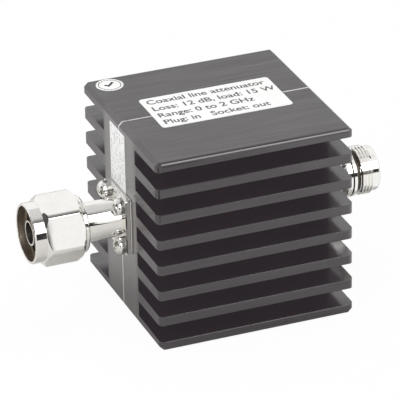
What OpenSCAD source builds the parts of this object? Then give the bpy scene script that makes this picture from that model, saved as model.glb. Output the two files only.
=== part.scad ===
// Coaxial power attenuator: two finned heat sink halves close over a resistive chip,
// with a plug and its free coupling nut at one end and a socket at the other.
// X runs along the coaxial line, the plug at -X. The halves part on the plane Y = 0.
// The heat sink stands on Z = 0, and the line runs through the middle of its height.

/* [Heat sink] */
// Length of the heat sink along the coaxial line
sink_length = 65; // [58:0.5:80]
// Width over the fin tips of both halves
sink_width = 65.5; // [56:0.5:80]
// Height over the outermost fins
sink_height = 64.5; // [60:0.5:80]
// Width of the solid core between the fin roots
core_width = 27.2; // [25:0.2:34]
// Number of fins on each half
fin_count = 8; // [6:1:8]
// Thickness of a fin at its tip
fin_tip = 3.2; // [2.4:0.1:3.4]
// Extra thickness on each side of a fin at its root
fin_draft = 0.2; // [0:0.05:0.25]
// Flat on the edges of a fin tip
tip_chamfer = 0.2; // [0.1:0.05:0.5]
// Flat in the corners of a slot floor
root_chamfer = 0.3; // [0.1:0.05:0.4]
// Radius along the long outer edges
edge_round = 1.4; // [0.4:0.1:2]
// Radius of the upright corners
corner_round = 2; // [0.5:0.1:3]
// Flat along the end edges of the top and bottom
end_chamfer = 1.3; // [0.3:0.1:1.5]
// Distance along each edge from an outer corner to the flat that breaks it
corner_flat = 2.6; // [2:0.1:3.2]
// Flat along the parting line
seam_chamfer = 0.25; // [0.1:0.05:0.3]

/* [Coaxial line] */
// Diameter of the thin line conductor inside the heat sink
line_d = 1.3; // [1:0.05:1.5]
// Diameter of the insulator stem inside the heat sink
stem_d = 4.1; // [3.6:0.1:5]
// Diameter of the line conductor inside a connector bead
bead_core_d = 2.1; // [1.8:0.1:2.4]
// Inner diameter of the outer conductor
outer_bore_d = 7; // [6.6:0.1:7.2]
// Diameter of the contacts where they mate
contact_d = 3.04; // [2.8:0.02:3.2]
// Depth of the wall that stops a bead in its connector
bead_stop = 1.2; // [0.8:0.1:1.5]

/* [Flanges] */
// Side of the square connector flange
flange_side = 18.7; // [18.6:0.1:21]
// Thickness of the flange
flange_thickness = 2; // [1.5:0.1:3]
// Radius of the flange corners
flange_corner = 0.5; // [0.2:0.1:1.5]
// Spacing of the flange holes
flange_pitch = 13.5; // [13.2:0.1:14]
// Diameter of the flange holes
flange_hole_d = 3.3; // [3.2:0.05:3.5]
// Diameter of the neck next to the flange
neck_d = 12.5; // [12:0.1:12.8]

/* [Plug] */
// Length of the neck from the flange to the nut
neck_length = 11.4; // [9:0.2:16]
// Distance from the rear of the nut to the front of the barrel
barrel_inset = 8.1; // [7.4:0.1:9]
// Diameter of the snap ring groove in the barrel
ring_groove_d = 11.2; // [10.8:0.1:11.4]
// Diameter of the collar inside the gasket
collar_d = 8.8; // [8.6:0.1:9.4]
// Thickness of the gasket
gasket_thickness = 1.9; // [1:0.1:2.4]
// Outer diameter of the gasket
gasket_d = 13.5; // [11:0.1:14]
// Outer diameter of the contact sleeve
sleeve_d = 8; // [7.8:0.05:8.1]
// Length of the contact sleeve in front of the gasket
sleeve_length = 7; // [5:0.1:8]
// Depth of the pin tip behind the end of the sleeve
tip_recess = 2; // [1:0.1:3]
// Length of the thin tip of the pin
tip_length = 2.6; // [2:0.1:3]
// Diameter of the thin tip of the pin
tip_d = 1.6; // [1.4:0.02:1.66]

/* [Coupling nut] */
// Length of the coupling nut
nut_length = 18.1; // [17.6:0.1:24]
// Size of the hexagon across its flats
nut_hex = 20.4; // [19.7:0.1:23]
// Diameter of the round rim at the mouth
nut_rim_d = 19.4; // [18.8:0.1:19.5]
// Length of the round rim at the mouth
nut_rim_length = 3.6; // [2.8:0.1:4.5]
// Diameter of the round collar at the rear
nut_collar_d = 18.2; // [17:0.1:19]
// Length of the round collar at the rear
nut_collar_length = 1.4; // [1:0.1:2.2]
// Width and depth of the groove between collar and hexagon
nut_groove = 0.4; // [0.2:0.1:0.8]
// Rise of the chamfer at each end of the hexagon
nut_chamfer = 1.6; // [0.6:0.1:2.2]
// Cut that turns the corners of the hexagon round
nut_corner_cut = 0.35; // [0.2:0.05:0.6]
// Diameter of the counterbore at the mouth
nut_mouth_d = 17.6; // [16.2:0.1:18]
// Depth of the counterbore at the mouth
nut_mouth_depth = 2.6; // [1:0.1:4]
// Crest diameter of the inner thread
nut_thread_d = 14.9; // [14.7:0.05:15.2]
// Thickness of the rear wall behind the snap ring
nut_wall = 2.9; // [2:0.1:3.4]
// Width of the groove that holds the snap ring
nut_ring_slot = 1.3; // [1.1:0.1:1.8]
// Turn of the hexagon about the line at rest
nut_turn = 17; // [0:1:59]

/* [Snap ring] */
// Outer diameter of the snap ring
ring_d = 13.9; // [13.6:0.1:14.2]
// Thickness of the snap ring
ring_thickness = 0.8; // [0.5:0.1:1]
// Opening of the snap ring
ring_gap = 2; // [1:0.5:4]

/* [Socket] */
// Length of the thin neck from the heat sink
socket_neck = 9; // [8:0.2:12]
// Diameter of the barrel and its collar
socket_barrel_d = 15.9; // [15.88:0.02:16.4]
// Length of the barrel
socket_barrel = 1.9; // [1:0.1:3]
// Width of the fine groove in front of the barrel
socket_groove = 0.4; // [0.3:0.1:0.8]
// Diameter at the floor of the fine groove
socket_groove_d = 15; // [14:0.1:15.4]
// Length of the collar behind the thread
socket_collar = 1.1; // [1:0.1:3]
// Width of the thread relief
socket_relief = 1.1; // [0.6:0.1:1.5]
// Diameter at the floor of the thread relief
socket_relief_d = 13.9; // [13:0.1:14.2]
// Outer diameter of the thread
socket_thread_d = 15.875; // [15.8:0.005:15.88]
// Length of the thread
socket_thread = 4.9; // [4:0.1:8]
// Diameter of the smooth nose
socket_nose_d = 14.6; // [14:0.1:14.8]
// Length of the smooth nose
socket_nose = 2.1; // [1:0.1:3]
// Bore that takes the contact sleeve of a plug
socket_bore_d = 8.1; // [8.1:0.02:8.3]
// Depth of that bore
socket_bore_depth = 9.2; // [8.6:0.1:10]
// Depth of the centre contact behind the nose
socket_contact_recess = 4.2; // [4.1:0.1:5]
// Hole in the end of the centre contact
socket_contact_hole = 1.68; // [1.68:0.02:1.8]
// Width of the slots in the centre contact
socket_slit = 0.3; // [0.2:0.05:0.4]

/* [Screws] */
// Diameter of a flange screw
screw_d = 3; // [2.6:0.1:3]
// Diameter of a domed screw head
pan_d = 5.6; // [5:0.1:5.8]
// Height of a domed screw head
pan_height = 2.4; // [2:0.1:2.6]
// Radius round a domed screw head
pan_round = 1.8; // [0.8:0.1:1.9]
// Width of a cross recess arm
cross_width = 0.8; // [0.5:0.05:0.9]
// Length across a cross recess
cross_length = 3; // [2:0.1:3.2]
// Depth of a cross recess
cross_depth = 1.3; // [0.6:0.1:1.5]
// Diameter of a chip screw and a clamp screw
small_d = 2.5; // [2.2:0.1:2.5]
// Length of a flange screw under its head
flange_screw_length = 8; // [6:0.5:10]
// Length of a chip screw under its head
chip_screw_length = 6; // [4:0.5:8]
// Length of a clamp screw under its head
clamp_screw_length = 20; // [18:0.5:21]
// Diameter of a cap screw head
socket_head_d = 4.5; // [4:0.1:4.5]
// Height of a cap screw head
socket_head_height = 2.5; // [2:0.1:3]
// Hexagon key size of a cap screw
key_size = 2; // [1.5:0.1:2.5]
// Depth of the recess under a clamp screw head
clamp_seat = 1; // [0.5:0.1:2]
// Distance between clamp screws along the line
clamp_pitch = 40; // [36:1:44]
// Outer diameter of a lock washer
lock_d = 5.4; // [5:0.1:5.6]
// Thickness of a lock washer
lock_thickness = 0.8; // [0.5:0.1:1]
// Width of the split in a lock washer
lock_split = 0.5; // [0.3:0.1:0.8]

/* [Attenuator chip] */
// Length of the pocket along the line
pocket_length = 24; // [22:0.5:27]
// Height of the pocket
pocket_height = 25; // [24:0.5:27]
// Depth of the pocket in the front half
pocket_front = 4; // [3:0.2:6]
// Radius of the pocket corners
pocket_round = 2.5; // [1:0.5:3]
// Height of the metal carrier
carrier_height = 22; // [20:0.5:22]
// Thickness of the metal carrier
carrier_thickness = 1.5; // [1:0.1:2.5]
// Distance between the carrier holes
carrier_pitch = 16; // [15.4:0.2:16.4]
// Side of the square ceramic chip
chip_side = 9.5; // [8.5:0.1:9.8]
// Thickness of the ceramic chip
chip_thickness = 1; // [0.6:0.1:1.5]
// Thickness of the chip cover
cover_thickness = 1; // [0.6:0.1:1.5]
// Width of a contact tab
tab_width = 1.5; // [1:0.1:2]
// Thickness of a contact tab
tab_thickness = 0.2; // [0.1:0.05:0.3]
// Length of a tab on the ceramic chip
tab_land = 1.2; // [0.8:0.1:1.6]
// Length of line conductor bare in the pocket
bare_line = 3; // [2.4:0.1:4]
// Distance of the soldered flat from the middle of the line
line_flat = 0.25; // [0.1:0.05:0.35]

/* [Labels] */
// Length of the label on top
label_length = 43.6; // [30:0.2:48]
// Width of the label on top
label_width = 22; // [12:0.2:24]
// Radius of the label corners
label_round = 1.2; // [0.5:0.1:3]
// Offset of the label along the line
label_x = 0.4; // [-4:0.1:4]
// Offset of the label across the line
label_y = 1.35; // [-6:0.05:6]
// Diameter of the round sticker
sticker_d = 8.8; // [6:0.1:10]
// Distance of the sticker's middle from the plug end
sticker_x = 7; // [6.5:0.1:9]
// Distance of the sticker's middle from the rear edge
sticker_y = 6.05; // [5.5:0.05:8]
// Width of the strip over the parting line
strip_width = 12.9; // [8:0.1:14]
// Offset of the strip from the parting line
strip_y = 1.35; // [-4:0.05:4]
// Distance of the strip from the top of the heat sink
strip_inset = 2.6; // [1.6:0.1:6]
// Thickness of labels and stickers
label_thickness = 0.12; // [0.08:0.01:0.2]

/* [Fits] */
// Room round an insulator or a conductor in its hole
slip = 0.05; // [0.02:0.01:0.1]
// Room round a screw in its tapped hole
thread_room = 0.05; // [0.02:0.01:0.1]
// Room round a screw in a plain hole
screw_room = 0.15; // [0.1:0.05:0.3]
// Room round a clamp screw head
head_room = 0.15; // [0.1:0.05:0.2]
// Room between the plug barrel and the coupling nut
nut_room = 0.1; // [0.05:0.01:0.2]
// Depth of a tapped hole past the screw's end
tap_runout = 1.5; // [1:0.1:2.5]
// Small gap round pieces that lie side by side
lay_gap = 0.25; // [0.1:0.05:0.5]

/* [Hidden] */
$fn = 64;
// Overlap of a cutting shape past the face that it cuts
past = 1;
sink_end = sink_length / 2;
half_width = sink_width / 2;
core_half = core_width / 2;
line_z = sink_height / 2;
fin_pitch = (sink_height - fin_tip) / (fin_count - 1);
flange_top = line_z + flange_side / 2;
tapped_r = screw_d / 2 + thread_room;
small_tapped_r = small_d / 2 + thread_room;
small_plain_r = small_d / 2 + screw_room;
screw_tip_chamfer = 0.3;
edge_break = 0.3;
stem_r = stem_d / 2;
bead_r = outer_bore_d / 2 - slip;
pocket_end = pocket_length / 2;
stem_length = sink_end - pocket_end;

// Places along the plug, counted outward from the end of the heat sink
nut_rear = flange_thickness + neck_length;
nut_front = nut_rear + nut_length;
hex_rear = nut_rear + nut_collar_length + nut_groove;
hex_front = nut_front - nut_rim_length;
ring_slot_rear = nut_rear + nut_wall;
ring_slot_front = ring_slot_rear + nut_ring_slot;
ring_rear = ring_slot_rear + (nut_ring_slot - ring_thickness) / 2;
ring_lip = 0.7;
hex_relief = 0.1;
barrel_front = nut_rear + barrel_inset;
gasket_front = barrel_front + gasket_thickness;
sleeve_front = gasket_front + sleeve_length;
pin_front = sleeve_front - tip_recess;
pin_shoulder = pin_front - tip_length;
plug_bead_front = barrel_front;

// Places along the socket, counted outward from the end of the heat sink
barrel_end = socket_neck + socket_barrel;
groove_end = barrel_end + socket_groove;
collar_end = groove_end + socket_collar;
relief_end = collar_end + socket_relief;
thread_end = relief_end + socket_thread;
nose_end = thread_end + socket_nose;
socket_step = nose_end - socket_bore_depth;
contact_end = nose_end - socket_contact_recess;
contact_hole_depth = 3.6;
contact_slit_depth = 3.1;

// Layers of the chip, counted in Y from the middle of the line
chip_face = line_flat + tab_thickness;
carrier_face = chip_face + chip_thickness;
pocket_floor = carrier_face + carrier_thickness;

// Depths of the tapped holes
flange_tap = flange_screw_length - flange_thickness - lock_thickness + tap_runout;
chip_tap = chip_screw_length - carrier_thickness + tap_runout;
clamp_seat_y = core_half - clamp_seat;
clamp_tap = clamp_screw_length - clamp_seat_y + tap_runout;

aluminium_black = [0.2, 0.2, 0.21];
nickel = [0.86, 0.85, 0.82];
steel = [0.78, 0.78, 0.77];
gold = [0.9, 0.72, 0.35];
insulator_white = [0.95, 0.95, 0.92];
gasket_red = [0.72, 0.3, 0.2];
ceramic_white = [0.92, 0.92, 0.9];
paper_white = [0.97, 0.97, 0.96];

// Lower edge of a fin's tip
function fin_z(i) = i * fin_pitch;

// Middle of the slot above a fin
function slot_z(i) = fin_z(i) + (fin_tip + fin_pitch) / 2;

// Outline of a fin's lower side, from its root to its tip
function fin_under(i) = i == 0 ? [[half_width, 0]] : [
    [core_half, fin_z(i) - fin_draft - root_chamfer],
    [core_half + root_chamfer, fin_z(i) - fin_draft],
    [half_width - tip_chamfer, fin_z(i)],
    [half_width, fin_z(i) + tip_chamfer]
];

// Outline of a fin's upper side, from its tip to its root
function fin_over(i) = i == fin_count - 1 ? [[half_width, sink_height]] : [
    [half_width, fin_z(i) + fin_tip - tip_chamfer],
    [half_width - tip_chamfer, fin_z(i) + fin_tip],
    [core_half + root_chamfer, fin_z(i) + fin_tip + fin_draft],
    [core_half, fin_z(i) + fin_tip + fin_draft + root_chamfer]
];

// Section of one half, with the distance from the parting plane along x and the height along y
comb = concat(
    [[0, seam_chamfer], [seam_chamfer, 0]],
    [for (i = [0:fin_count - 1]) each concat(fin_under(i), fin_over(i))],
    [[seam_chamfer, sink_height], [0, sink_height - seam_chamfer]]
);

// What a corner at the origin loses when it is rounded, with the piece below and to the left
module corner_waste(r) {
    difference() {
        translate([-r, -r]) square(r + past);
        translate([-r, -r]) circle(r);
    }
}

// Flat rectangle with round corners, centred
module round_plate(w, h, r) {
    difference() {
        square([w, h], center = true);
        for (sx = [0, 1], sy = [0, 1])
            mirror([sx, 0]) mirror([0, sy]) translate([w / 2, h / 2]) corner_waste(r);
    }
}

// Places a shape drawn along +Z at the plug end, pointing outward
module at_plug() {
    translate([-sink_end, 0, line_z]) rotate([0, -90, 0]) children();
}

// Places a shape drawn along +Z at the socket end, pointing outward
module at_socket() {
    translate([sink_end, 0, line_z]) rotate([0, 90, 0]) children();
}

// Repeats a shape at the four flange holes
module at_flange_holes() {
    for (sx = [-1, 1], sy = [-1, 1])
        translate([sx, sy, 0] * flange_pitch / 2) children();
}

// Repeats a shape at the clamp screws, drawn along +Z and turned to point out of the rear half
module at_clamps() {
    for (sx = [-1, 1], slot = [1, fin_count - 3])
        translate([sx * clamp_pitch / 2, 0, slot_z(slot)]) rotate([-90, 0, 0]) children();
}

// Repeats a shape at the carrier holes, drawn along +Z and turned to point to the front
module at_chip_screws() {
    for (sz = [-1, 1])
        translate([0, carrier_face, line_z + sz * carrier_pitch / 2]) rotate([90, 0, 0]) children();
}

// Turns a list of [radius, place] points about the line
module turned(points) {
    rotate_extrude() polygon(points);
}

// Finned half on the +Y side, without its holes
module sink_blank() {
    difference() {
        rotate([90, 0, 90]) linear_extrude(sink_length, center = true) difference() {
            polygon(comb);
            translate([half_width, sink_height]) corner_waste(edge_round);
            mirror([0, 1]) translate([half_width, 0]) corner_waste(edge_round);
        }
        for (sx = [0, 1]) mirror([sx, 0, 0]) {
            translate([sink_end, half_width, -past])
                linear_extrude(sink_height + 2 * past) corner_waste(corner_round);
            translate([sink_end, half_width + past, sink_height]) end_waste();
            translate([sink_end, half_width + past, 0]) mirror([0, 0, 1]) end_waste();
            translate([sink_end, half_width, sink_height]) corner_flat_waste();
            translate([sink_end, half_width, 0]) mirror([0, 0, 1]) corner_flat_waste();
        }
    }
}

// What an upper end edge of the heat sink loses to its chamfer
module end_waste() {
    rotate([90, 0, 0]) linear_extrude(half_width + 2 * past)
        polygon([[-end_chamfer - past, past], [past, past], [past, -end_chamfer - past]]);
}

// What an upper outer corner loses to the flat that breaks it
module corner_flat_waste() {
    depth = corner_flat / sqrt(3);
    rotate([0, acos(1 / sqrt(3)), 45]) translate([-2 * corner_flat, -2 * corner_flat, -depth])
        cube([4 * corner_flat, 4 * corner_flat, depth + past]);
}

// Space for the chip and both insulator stems, for a pocket of one depth on each side
module line_space(depth) {
    translate([0, 0, line_z]) rotate([90, 0, 0])
        linear_extrude(2 * depth, center = true) round_plate(pocket_length, pocket_height, pocket_round);
    translate([-sink_end - past, 0, line_z]) rotate([0, 90, 0])
        cylinder(h = sink_length + 2 * past, r = stem_r + slip);
}

// Four tapped holes behind a flange
module flange_tap_holes() {
    at_flange_holes() translate([0, 0, -flange_tap]) cylinder(h = flange_tap + past, r = tapped_r);
}

// Tapped holes for the flange screws at both ends
module flange_taps() {
    at_plug() flange_tap_holes();
    at_socket() flange_tap_holes();
}

module heatsink_front_half() {
    color(aluminium_black) difference() {
        mirror([0, 1, 0]) sink_blank();
        line_space(pocket_front);
        flange_taps();
        at_clamps() translate([0, 0, -clamp_tap]) cylinder(h = clamp_tap + past, r = small_tapped_r);
    }
}

module heatsink_rear_half() {
    color(aluminium_black) difference() {
        sink_blank();
        line_space(pocket_floor);
        flange_taps();
        at_chip_screws() translate([0, 0, -carrier_thickness - chip_tap])
            cylinder(h = chip_tap + past, r = small_tapped_r);
        at_clamps() translate([0, 0, -past]) cylinder(h = core_half + past, r = small_plain_r);
        at_clamps() translate([0, 0, clamp_seat_y])
            cylinder(h = half_width, r = socket_head_d / 2 + head_room);
    }
}

// Square flange with its four holes, from the end of the heat sink outward
module flange() {
    difference() {
        linear_extrude(flange_thickness) round_plate(flange_side, flange_side, flange_corner);
        at_flange_holes() translate([0, 0, -past])
            cylinder(h = flange_thickness + 2 * past, d = flange_hole_d);
    }
}

// Stepped hole through a connector, for its bead and stem
module line_bore(front) {
    turned([
        [0, -past], [stem_r + slip, -past], [stem_r + slip, bead_stop],
        [outer_bore_d / 2, bead_stop], [outer_bore_d / 2, front + past], [0, front + past]
    ]);
}

// Bead in a connector and the stem behind it, bored for the line conductor
module insulator(bead_front) {
    difference() {
        turned([
            [0, -stem_length], [stem_r, -stem_length], [stem_r, bead_stop],
            [bead_r, bead_stop], [bead_r, bead_front], [0, bead_front]
        ]);
        turned([
            [0, -stem_length - past], [line_d / 2 + slip, -stem_length - past],
            [line_d / 2 + slip, bead_stop], [bead_core_d / 2 + slip, bead_stop],
            [bead_core_d / 2 + slip, bead_front + past], [0, bead_front + past]
        ]);
    }
}

// Room on the bare end of the line conductor for a tab, on the +Y side
module tab_flat() {
    translate([-line_d, line_flat, -stem_length - bare_line - past])
        cube([2 * line_d, line_d, bare_line + past]);
}

// Points of the line conductor from its bare end to the front of the bead
function line_points(bead_front) = [
    [0, -stem_length - bare_line], [line_d / 2, -stem_length - bare_line], [line_d / 2, bead_stop],
    [bead_core_d / 2, bead_stop], [bead_core_d / 2, bead_front], [contact_d / 2, bead_front]
];

module plug_body() {
    neck_r = neck_d / 2;
    color(nickel) at_plug() difference() {
        union() {
            flange();
            turned([
                [0, 0], [neck_r, 0],
                [neck_r, ring_slot_rear + slip], [ring_groove_d / 2, ring_slot_rear + slip],
                [ring_groove_d / 2, ring_slot_front - slip], [neck_r, ring_slot_front - slip],
                [neck_r, barrel_front - edge_break], [neck_r - edge_break, barrel_front],
                [collar_d / 2, barrel_front], [collar_d / 2, gasket_front],
                [sleeve_d / 2, gasket_front], [sleeve_d / 2, sleeve_front], [0, sleeve_front]
            ]);
        }
        line_bore(sleeve_front);
    }
}

module coupling_nut() {
    flat_r = nut_hex / 2;
    point_r = flat_r / cos(30);
    face_r = flat_r - hex_relief;
    corner_r = point_r - nut_corner_cut;
    rise = nut_chamfer * (corner_r - face_r) / (point_r - face_r);
    rim_r = nut_rim_d / 2;
    collar_r = nut_collar_d / 2;
    lip_front = ring_slot_front + ring_lip;
    mouth_rear = nut_front - nut_mouth_depth;
    color(nickel) at_plug() difference() {
        union() {
            turned([
                [0, nut_rear], [collar_r - edge_break, nut_rear], [collar_r, nut_rear + edge_break],
                [collar_r, nut_rear + nut_collar_length],
                [collar_r - nut_groove, nut_rear + nut_collar_length], [collar_r - nut_groove, hex_rear],
                [collar_r - nut_groove, hex_front], [rim_r, hex_front],
                [rim_r, nut_front - edge_break], [rim_r - edge_break, nut_front], [0, nut_front]
            ]);
            intersection() {
                translate([0, 0, hex_rear]) rotate([0, 0, nut_turn])
                    cylinder(h = hex_front - hex_rear, r = point_r, $fn = 6);
                turned([
                    [0, hex_rear], [face_r, hex_rear], [corner_r, hex_rear + rise],
                    [corner_r, hex_front - rise], [face_r, hex_front], [0, hex_front]
                ]);
            }
        }
        turned([
            [0, nut_rear - past], [neck_d / 2 + nut_room, nut_rear - past],
            [neck_d / 2 + nut_room, ring_slot_rear], [ring_d / 2 + nut_room, ring_slot_rear],
            [ring_d / 2 + nut_room, ring_slot_front], [neck_d / 2 + 3 * nut_room, ring_slot_front],
            [neck_d / 2 + 3 * nut_room, lip_front], [nut_thread_d / 2, lip_front],
            [nut_thread_d / 2, mouth_rear - edge_break], [nut_mouth_d / 2, mouth_rear],
            [nut_mouth_d / 2, nut_front + past], [0, nut_front + past]
        ]);
    }
}

module snap_ring() {
    color(steel) at_plug() translate([0, 0, ring_rear]) difference() {
        cylinder(h = ring_thickness, d = ring_d);
        translate([0, 0, -past]) cylinder(h = ring_thickness + 2 * past, r = ring_groove_d / 2 + slip);
        translate([0, -ring_gap / 2, -past]) cube([ring_d, ring_gap, ring_thickness + 2 * past]);
    }
}

module plug_gasket() {
    color(gasket_red) at_plug() difference() {
        turned([
            [0, barrel_front], [gasket_d / 2 - edge_break, barrel_front],
            [gasket_d / 2, barrel_front + edge_break], [gasket_d / 2, gasket_front - edge_break],
            [gasket_d / 2 - edge_break, gasket_front], [0, gasket_front]
        ]);
        translate([0, 0, barrel_front - past])
            cylinder(h = gasket_thickness + 2 * past, r = collar_d / 2 + slip);
    }
}

module plug_insulator() {
    color(insulator_white) at_plug() insulator(plug_bead_front);
}

module plug_center_pin() {
    color(gold) at_plug() difference() {
        turned(concat(line_points(plug_bead_front), [
            [contact_d / 2, pin_shoulder - edge_break], [contact_d / 2 - edge_break, pin_shoulder],
            [tip_d / 2, pin_shoulder], [tip_d / 2, pin_front - tip_d / 2],
            [tip_d / 6, pin_front], [0, pin_front]
        ]));
        tab_flat();
    }
}

// Domed screw with a cross recess, its head standing on z = 0
module pan_screw(length) {
    difference() {
        rotate_extrude() difference() {
            polygon([
                [0, -length], [screw_d / 2 - screw_tip_chamfer, -length],
                [screw_d / 2, -length + screw_tip_chamfer], [screw_d / 2, 0],
                [pan_d / 2, 0], [pan_d / 2, pan_height], [0, pan_height]
            ]);
            translate([pan_d / 2, pan_height]) corner_waste(pan_round);
        }
        for (turn = [0, 90]) rotate([0, 0, turn]) translate([0, 0, pan_height - cross_depth + past])
            cube([cross_length, cross_width, 2 * past], center = true);
    }
}

// Spring washer with its split, standing on z = 0
module lock_washer() {
    difference() {
        cylinder(h = lock_thickness, d = lock_d);
        translate([0, 0, -past]) cylinder(h = lock_thickness + 2 * past, r = screw_d / 2 + screw_room);
        translate([0, -lock_split / 2, -past]) cube([lock_d, lock_split, lock_thickness + 2 * past]);
    }
}

module flange_screws() {
    at_flange_holes() translate([0, 0, flange_thickness + lock_thickness]) pan_screw(flange_screw_length);
}

module flange_lock_washers() {
    at_flange_holes() translate([0, 0, flange_thickness]) lock_washer();
}

module plug_screws() {
    color(steel) at_plug() flange_screws();
}

module plug_lock_washers() {
    color(steel) at_plug() flange_lock_washers();
}

module socket_body() {
    neck_r = neck_d / 2;
    barrel_r = socket_barrel_d / 2;
    thread_r = socket_thread_d / 2;
    nose_r = socket_nose_d / 2;
    color(nickel) at_socket() difference() {
        union() {
            flange();
            turned([
                [0, 0], [neck_r, 0], [neck_r, socket_neck],
                [barrel_r - edge_break, socket_neck], [barrel_r, socket_neck + edge_break],
                [barrel_r, barrel_end], [socket_groove_d / 2, barrel_end],
                [socket_groove_d / 2, groove_end], [barrel_r, groove_end],
                [barrel_r, collar_end], [socket_relief_d / 2, collar_end],
                [socket_relief_d / 2, relief_end], [thread_r, relief_end], [thread_r, thread_end],
                [nose_r, thread_end], [nose_r, nose_end - edge_break], [nose_r - edge_break, nose_end],
                [0, nose_end]
            ]);
        }
        line_bore(socket_step);
        translate([0, 0, socket_step]) cylinder(h = socket_bore_depth + past, d = socket_bore_d);
    }
}

module socket_insulator() {
    color(insulator_white) at_socket() insulator(socket_step);
}

module socket_center_contact() {
    color(gold) at_socket() difference() {
        turned(concat(line_points(socket_step), [
            [contact_d / 2, contact_end], [socket_contact_hole / 2, contact_end],
            [socket_contact_hole / 2, contact_end - contact_hole_depth],
            [0, contact_end - contact_hole_depth]
        ]));
        tab_flat();
        for (turn = [45, 135]) rotate([0, 0, turn]) translate([0, 0, contact_end])
            cube([2 * contact_d, socket_slit, 2 * contact_slit_depth], center = true);
    }
}

module socket_screws() {
    color(steel) at_socket() flange_screws();
}

module socket_lock_washers() {
    color(steel) at_socket() flange_lock_washers();
}

// Extrudes an outline drawn in X and Z from a plane of the chip towards the front
module chip_layer(face, thickness) {
    translate([0, face, line_z]) rotate([90, 0, 0]) linear_extrude(thickness) children();
}

module chip_carrier() {
    color(nickel) chip_layer(pocket_floor, carrier_thickness) difference() {
        square([chip_side, carrier_height], center = true);
        for (sz = [-1, 1]) translate([0, sz * carrier_pitch / 2]) circle(small_plain_r);
    }
}

module chip_ceramic() {
    color(ceramic_white) chip_layer(carrier_face, chip_thickness)
        square(chip_side, center = true);
}

module chip_cover() {
    cover_side = chip_side - 2 * tab_land - 2 * lay_gap;
    color(ceramic_white) chip_layer(chip_face, cover_thickness)
        square([cover_side, chip_side - 4 * lay_gap], center = true);
}

// Tab from the ceramic chip to the bare line conductor, on the +X side
module contact_tab() {
    inner = chip_side / 2 - tab_land;
    outer = pocket_end - lay_gap;
    chip_layer(chip_face, tab_thickness)
        translate([inner, -tab_width / 2]) square([outer - inner, tab_width]);
}

module input_tab() {
    color(gold) mirror([1, 0, 0]) contact_tab();
}

module output_tab() {
    color(gold) contact_tab();
}

// Cap screw with a hexagon socket, its head standing on z = 0
module cap_screw(length) {
    difference() {
        turned([
            [0, -length], [small_d / 2 - screw_tip_chamfer, -length],
            [small_d / 2, -length + screw_tip_chamfer], [small_d / 2, 0],
            [socket_head_d / 2, 0], [socket_head_d / 2, socket_head_height - edge_break],
            [socket_head_d / 2 - edge_break, socket_head_height], [0, socket_head_height]
        ]);
        translate([0, 0, socket_head_height / 2])
            cylinder(h = socket_head_height, r = key_size / 2 / cos(30), $fn = 6);
    }
}

module chip_screws() {
    color(steel) at_chip_screws() cap_screw(chip_screw_length);
}

module clamp_screws() {
    color(steel) at_clamps() translate([0, 0, clamp_seat_y]) cap_screw(clamp_screw_length);
}

module top_label() {
    color(paper_white) translate([label_x, label_y, sink_height])
        linear_extrude(label_thickness) round_plate(label_length, label_width, label_round);
}

module round_sticker() {
    color(paper_white) translate([sticker_x - sink_end, half_width - sticker_y, sink_height])
        cylinder(h = label_thickness, d = sticker_d);
}

module seal_strip() {
    strip_low = flange_top + lay_gap;
    strip_high = sink_height - strip_inset;
    color(paper_white) at_plug() translate([(strip_low + strip_high) / 2 - line_z, strip_y, 0])
        linear_extrude(label_thickness) round_plate(strip_high - strip_low, strip_width, label_round / 2);
}

heatsink_front_half();
heatsink_rear_half();
plug_body();
coupling_nut();
snap_ring();
plug_gasket();
plug_insulator();
plug_center_pin();
plug_screws();
plug_lock_washers();
socket_body();
socket_insulator();
socket_center_contact();
socket_screws();
socket_lock_washers();
chip_carrier();
chip_ceramic();
chip_cover();
input_tab();
output_tab();
chip_screws();
clamp_screws();
top_label();
round_sticker();
seal_strip();
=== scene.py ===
"""Looks of a finned coaxial attenuator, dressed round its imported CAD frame."""

import math

import bmesh
import bpy
from mathutils import Matrix, Vector


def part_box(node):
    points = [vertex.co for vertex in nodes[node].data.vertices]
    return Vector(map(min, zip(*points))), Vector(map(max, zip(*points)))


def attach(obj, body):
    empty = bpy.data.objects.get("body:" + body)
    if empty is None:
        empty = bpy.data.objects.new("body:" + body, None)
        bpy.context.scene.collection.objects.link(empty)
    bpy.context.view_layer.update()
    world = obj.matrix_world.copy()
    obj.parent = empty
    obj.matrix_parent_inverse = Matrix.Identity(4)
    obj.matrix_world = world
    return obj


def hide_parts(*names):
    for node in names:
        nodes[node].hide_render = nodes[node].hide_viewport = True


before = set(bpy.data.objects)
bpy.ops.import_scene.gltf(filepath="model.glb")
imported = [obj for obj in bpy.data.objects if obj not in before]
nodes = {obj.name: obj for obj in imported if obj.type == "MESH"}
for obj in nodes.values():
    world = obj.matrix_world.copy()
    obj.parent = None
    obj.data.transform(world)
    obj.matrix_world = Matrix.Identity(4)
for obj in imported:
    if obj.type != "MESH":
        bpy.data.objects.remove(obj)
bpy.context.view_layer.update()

MM = 0.001
TURN = 2 * math.pi
BODY = "attenuator"
NUT = "free_nut"

# Heat sink, in millimetres
SINK_END = 32.5
SINK_HALF_WIDTH = 32.75
SINK_HEIGHT = 64.5
LINE_HEIGHT = SINK_HEIGHT / 2
FIN_COUNT = 8
FIN_TIP = 3.2
FIN_PITCH = (SINK_HEIGHT - FIN_TIP) / (FIN_COUNT - 1)
SEAM_HALF = 0.3

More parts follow.
